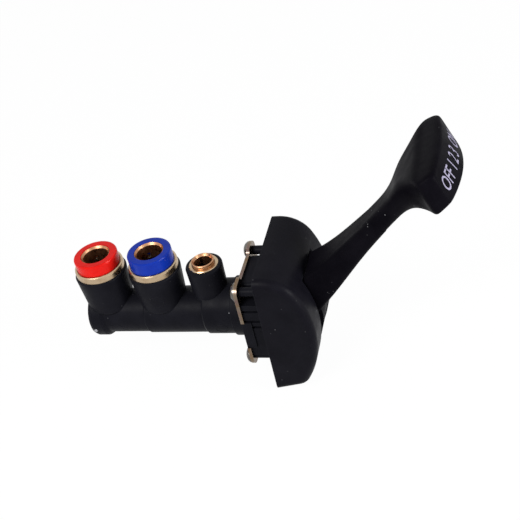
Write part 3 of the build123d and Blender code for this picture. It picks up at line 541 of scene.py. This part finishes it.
def cord_mesh(path, radius, closed, sides=6):
    """Vertices and faces of a thin round bead along points that lie on a surface."""
    vertices, faces = [], []
    total = len(path)
    for k, (spot, normal) in enumerate(path):
        after = path[(k + 1) % total][0] if closed or k + 1 < total else spot
        before = path[k - 1][0] if closed or k > 0 else spot
        forward = (after - before).normalized()
        across = forward.cross(normal).normalized()
        for i in range(sides):
            a = tau * i / sides
            vertices.append(spot + across * (radius * cos(a)) + normal * (radius * sin(a)))
    for k in range(total if closed else total - 1):
        for i in range(sides):
            j = (i + 1) % sides
            n = (k + 1) % total
            faces.append((k * sides + i, k * sides + j, n * sides + j, n * sides + i))
    return vertices, faces


def ejector_ring(name, centre, aim, radius, tree, material):
    """The raised rim that an ejector pin leaves on a moulding."""
    aim = Vector(aim).normalized()
    first = aim.cross(Vector((0, 0, 1))).normalized()
    second = aim.cross(first)
    centre = Vector(centre) * MM
    points = [centre + (first * cos(tau * k / 48) + second * sin(tau * k / 48)) * radius * MM for k in range(48)]
    path = draped(points, tree, aim, 0.00001)
    vertices, faces = cord_mesh(path, 0.00008, len(path) == 48)
    return add_piece(name, vertices, faces, material, "valve")


def nib(name, place, aim, radius, tree, material, body):
    """A small domed lump of plastic, such as a gate's stub or a fleck, on a surface."""
    aim = Vector(aim).normalized()
    spot, normal, _, _ = tree.ray_cast(Vector(place) * MM - aim * 0.02, aim)
    if spot is None:
        raise ValueError(name + " has no surface under it")
    if normal.dot(aim) > 0:
        normal = -normal
    first = normal.orthogonal().normalized()
    second = normal.cross(first)
    vertices, faces = [spot + normal * radius * 0.6 * MM], []
    shaker = random.Random(len(name))
    for ring in range(1, 5):
        a = pi / 2 * ring / 4
        for k in range(10):
            turn = tau * k / 10
            reach = radius * MM * sin(a) * (1 + shaker.uniform(-0.16, 0.16))
            vertices.append(
                spot + (first * cos(turn) + second * sin(turn)) * reach + normal * (radius * MM * 0.6 * cos(a)))
    for k in range(10):
        faces.append((0, 1 + k, 1 + (k + 1) % 10))
        for ring in range(3):
            low = 1 + ring * 10
            faces.append((low + k, low + 10 + k, low + 10 + (k + 1) % 10, low + (k + 1) % 10))
    return add_piece(name, vertices, faces, material, body)


def screw_sleeves():
    """Thin black spacers on the four screws, between plate and bezel."""
    low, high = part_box("plate_screws")
    head = SCREW_HEAD_R * MM
    vertices, faces = [], []
    rear = PLATE_FRONT_X * MM
    front = 0.0002
    profile = [(rear, 1.52), (rear, 1.6), (rear + 0.0003, 1.68), (front - 0.0003, 1.68), (front, 1.6), (front, 1.52)]
    for y in (low[1] + head, high[1] - head):
        for z in (low[2] + head, high[2] - head):
            base = len(vertices)
            for x, radius in profile:
                for k in range(20):
                    a = tau * k / 20
                    vertices.append(Vector((x, y + radius * MM * cos(a), z + radius * MM * sin(a))))
            for ring in range(len(profile) - 1):
                for k in range(20):
                    n = (k + 1) % 20
                    faces.append(tuple(base + i for i in (
                        ring * 20 + k, ring * 20 + n, ring * 20 + 20 + n, ring * 20 + 20 + k)))
    return add_piece("screw_sleeves", vertices, faces, BODY_BLACK, "valve")


def grip_lettering(grip):
    """Positions printed on the grip's front: OFF, three steps and ON."""
    tree = tree_of(grip)
    a = radians(GRIP_ANGLE)
    out = Vector((cos(a), 0, sin(a)))
    up = Vector((-sin(a), 0, cos(a)))
    middle = lever_point(GRIP_REACH, GRIP_LIFT)
    vertices, faces = [], []
    for text, centre in LETTERS:
        data = bpy.data.curves.new("words", "FONT")
        data.body = text
        data.align_x = "CENTER"
        data.size = LETTER_HEIGHT / CAPITAL_SHARE
        data.resolution_u = 4
        data.offset = 0.045
        words = bpy.data.objects.new("words", data)
        bpy.context.scene.collection.objects.link(words)
        flat = bpy.data.meshes.new_from_object(words.evaluated_get(bpy.context.evaluated_depsgraph_get()))
        bpy.data.objects.remove(words)
        worked = bmesh.new()
        worked.from_mesh(flat)
        bmesh.ops.triangulate(worked, faces=worked.faces)
        for _ in range(3):
            long_edges = [e for e in worked.edges if e.calc_length() > LETTER_EDGE]
            if long_edges:
                bmesh.ops.subdivide_edges(worked, edges=long_edges, cuts=1)
                bmesh.ops.triangulate(worked, faces=worked.faces)
        base = len(vertices)
        for v in worked.verts:
            y = centre + v.co.x * LETTER_SQUEEZE
            z = v.co.y - LETTER_HEIGHT / 2 + LETTER_RISE
            start = middle + out * 0.02 + (Vector((0, y, 0)) + up * z) * MM
            spot = tree.ray_cast(start, -out)[0]
            vertices.append((spot if spot is not None else start - out * 0.02) + out * 0.00004)
        worked.verts.index_update()
        for face in worked.faces:
            faces.append(tuple(base + v.index for v in face.verts))
        worked.free()
    return add_piece("grip_lettering", vertices, faces, INK, "lever", smooth=False)


def printed_ink(name):
    """Pad-printed ink: pale lilac white, thin in places, with the grain showing through."""
    made = Surface(name, (0.3, 0.28, 0.38), 0.55, Specular_IOR_Level=0.06)
    made.tint(made.between(made.noise(0.0009, 3), 0.52, 0.72, 0, 0.55), (0.2, 0.19, 0.26))
    made.tint(made.between(made.noise(0.00022, 2), 0.6, 0.7, 0, 0.5), (0.1, 0.095, 0.13))
    made.rough(made.noise(0.0005), 0.48, 0.62)
    made.bump(made.noise(0.00025, 2), 0.00003, 0.5)
    return made.material


def pale_fleck(name):
    made = Surface(name, (0.3, 0.3, 0.32), 0.5, Specular_IOR_Level=0.2)
    made.tint(made.between(made.noise(0.0004), 0.4, 0.7, 0, 0.7), (0.24, 0.24, 0.26))
    made.rough(made.noise(0.0003), 0.4, 0.6)
    made.bump(made.noise(0.0002), 0.00003, 0.5)
    return made.material


INK = printed_ink("printed_ink")
FLECK = pale_fleck("pale_fleck")


def add_details(grip):
    body_tree = tree_of(NODES["valve_body"])
    towards = (0.0, 1.0, 0.0)
    ejector_ring("ejector_ring_delivery", (-41.9, -9.05, 10.0), towards, 2.5, body_tree, BODY_BLACK)
    ejector_ring("ejector_ring_supply", (-62.3, -8.0, -4.3), (0, 0.82, 0.57), 2.4, body_tree, BODY_BLACK)
    ejector_ring("ejector_ring_exhaust", (-19.2, -10.1, -2.8), (0, 0.95, 0.3), 2.4, body_tree, BODY_BLACK)
    nib("gate_stub", (-70.8, -9.4, -3.7), (0, 0.93, 0.37), 0.75, body_tree, FLECK, "valve")
    nib("fleck_body", (-15.0, -9.5, 4.5), (0, 0.9, -0.42), 0.22, body_tree, FLECK, "valve")
    nib("fleck_arm", (45.6, -5.5, 42.9), (-0.1, 0.98, -0.1), 0.15, tree_of(grip), FLECK, "lever")
    screw_sleeves()
    grip_lettering(grip)


# ---------------------------------------------------------------- light and floor
WORLD_COLOUR = (0.93, 0.96, 1.0, 1)
WORLD_STRENGTH = 0.4
FLOOR_REACH = 2.5
FLOOR_COLOUR = (0.95, 0.95, 0.95, 1)
FLOOR_ROUGHNESS = 0.9
FLOOR_WHITE = 0.97  # share of plain white that is seen; the rest is lit and carries the shadow


def area_light(name, place, target, size, power, colour=(1, 1, 1)):
    data = bpy.data.lights.new(name, "AREA")
    data.shape = "RECTANGLE"
    data.size, data.size_y = size
    data.energy = power
    data.color = colour
    lamp = bpy.data.objects.new(name, data)
    lamp.location = place
    lamp.rotation_euler = (Vector(target) - Vector(place)).to_track_quat("-Z", "Y").to_euler()
    bpy.context.scene.collection.objects.link(lamp)


def white_where_seen(tree, plain, socket, share=1.0):
    """Mixes plain white light into a shader, only for the rays that see it or mirror it."""
    nodes, links = tree.nodes, tree.links
    rays = nodes.new("ShaderNodeLightPath")
    either = nodes.new("ShaderNodeMath")
    either.operation = "MAXIMUM"
    links.new(rays.outputs["Is Camera Ray"], either.inputs[0])
    links.new(rays.outputs["Is Glossy Ray"], either.inputs[1])
    any_ray = nodes.new("ShaderNodeMath")
    any_ray.operation = "MAXIMUM"
    links.new(either.outputs[0], any_ray.inputs[0])
    links.new(rays.outputs["Is Transmission Ray"], any_ray.inputs[1])
    part = nodes.new("ShaderNodeMath")
    part.operation = "MULTIPLY"
    part.inputs[1].default_value = share
    links.new(any_ray.outputs[0], part.inputs[0])
    white = nodes.new("ShaderNodeBackground" if tree.nodes.get("World Output") else "ShaderNodeEmission")
    white.inputs["Color"].default_value = (1, 1, 1, 1)
    white.inputs["Strength"].default_value = 1
    mix = nodes.new("ShaderNodeMixShader")
    links.new(part.outputs[0], mix.inputs[0])
    links.new(plain, mix.inputs[1])
    links.new(white.outputs[0], mix.inputs[2])
    links.new(mix.outputs[0], socket)


def light_the_scene():
    world = bpy.data.worlds.new("studio")
    bpy.context.scene.world = world
    world.use_nodes = True
    tree = world.node_tree
    soft = tree.nodes["Background"]
    soft.inputs["Color"].default_value = WORLD_COLOUR
    soft.inputs["Strength"].default_value = WORLD_STRENGTH
    white_where_seen(tree, soft.outputs[0], tree.nodes["World Output"].inputs["Surface"])
    area_light("key", (-0.25, -0.5, 0.55), (0, 0, 0.01), (0.3, 0.3), 4.8, (1.0, 0.985, 0.96))
    area_light("side", (0.7, -0.16, 0.22), (0.02, 0, 0.01), (0.35, 0.25), 5.0)


def lay_floor():
    low = cad_box[0][2]
    mesh = bpy.data.meshes.new("floor")
    reach = FLOOR_REACH
    mesh.from_pydata(
        [(-reach, -reach, low), (reach, -reach, low), (reach, reach, low), (-reach, reach, low)], [], [(0, 1, 2, 3)])
    floor = bpy.data.objects.new("floor", mesh)
    bpy.context.scene.collection.objects.link(floor)
    material = bpy.data.materials.new("floor_paper")
    material.use_nodes = True
    tree = material.node_tree
    shader = tree.nodes["Principled BSDF"]
    shader.inputs["Base Color"].default_value = FLOOR_COLOUR
    shader.inputs["Roughness"].default_value = FLOOR_ROUGHNESS
    shader.inputs["Specular IOR Level"].default_value = 0.0
    white_where_seen(tree, shader.outputs[0], tree.nodes["Material Output"].inputs["Surface"], FLOOR_WHITE)
    mesh.materials.append(material)


place_camera()
light_the_scene()
lay_floor()
finish_nodes()
lever_arm()
grip = lever_grip()
live_spring("poppet_spring")
live_spring("piston_spring")
live_spring("graduating_spring")
add_details(grip)

bpy.context.scene.view_settings.view_transform = "Standard"
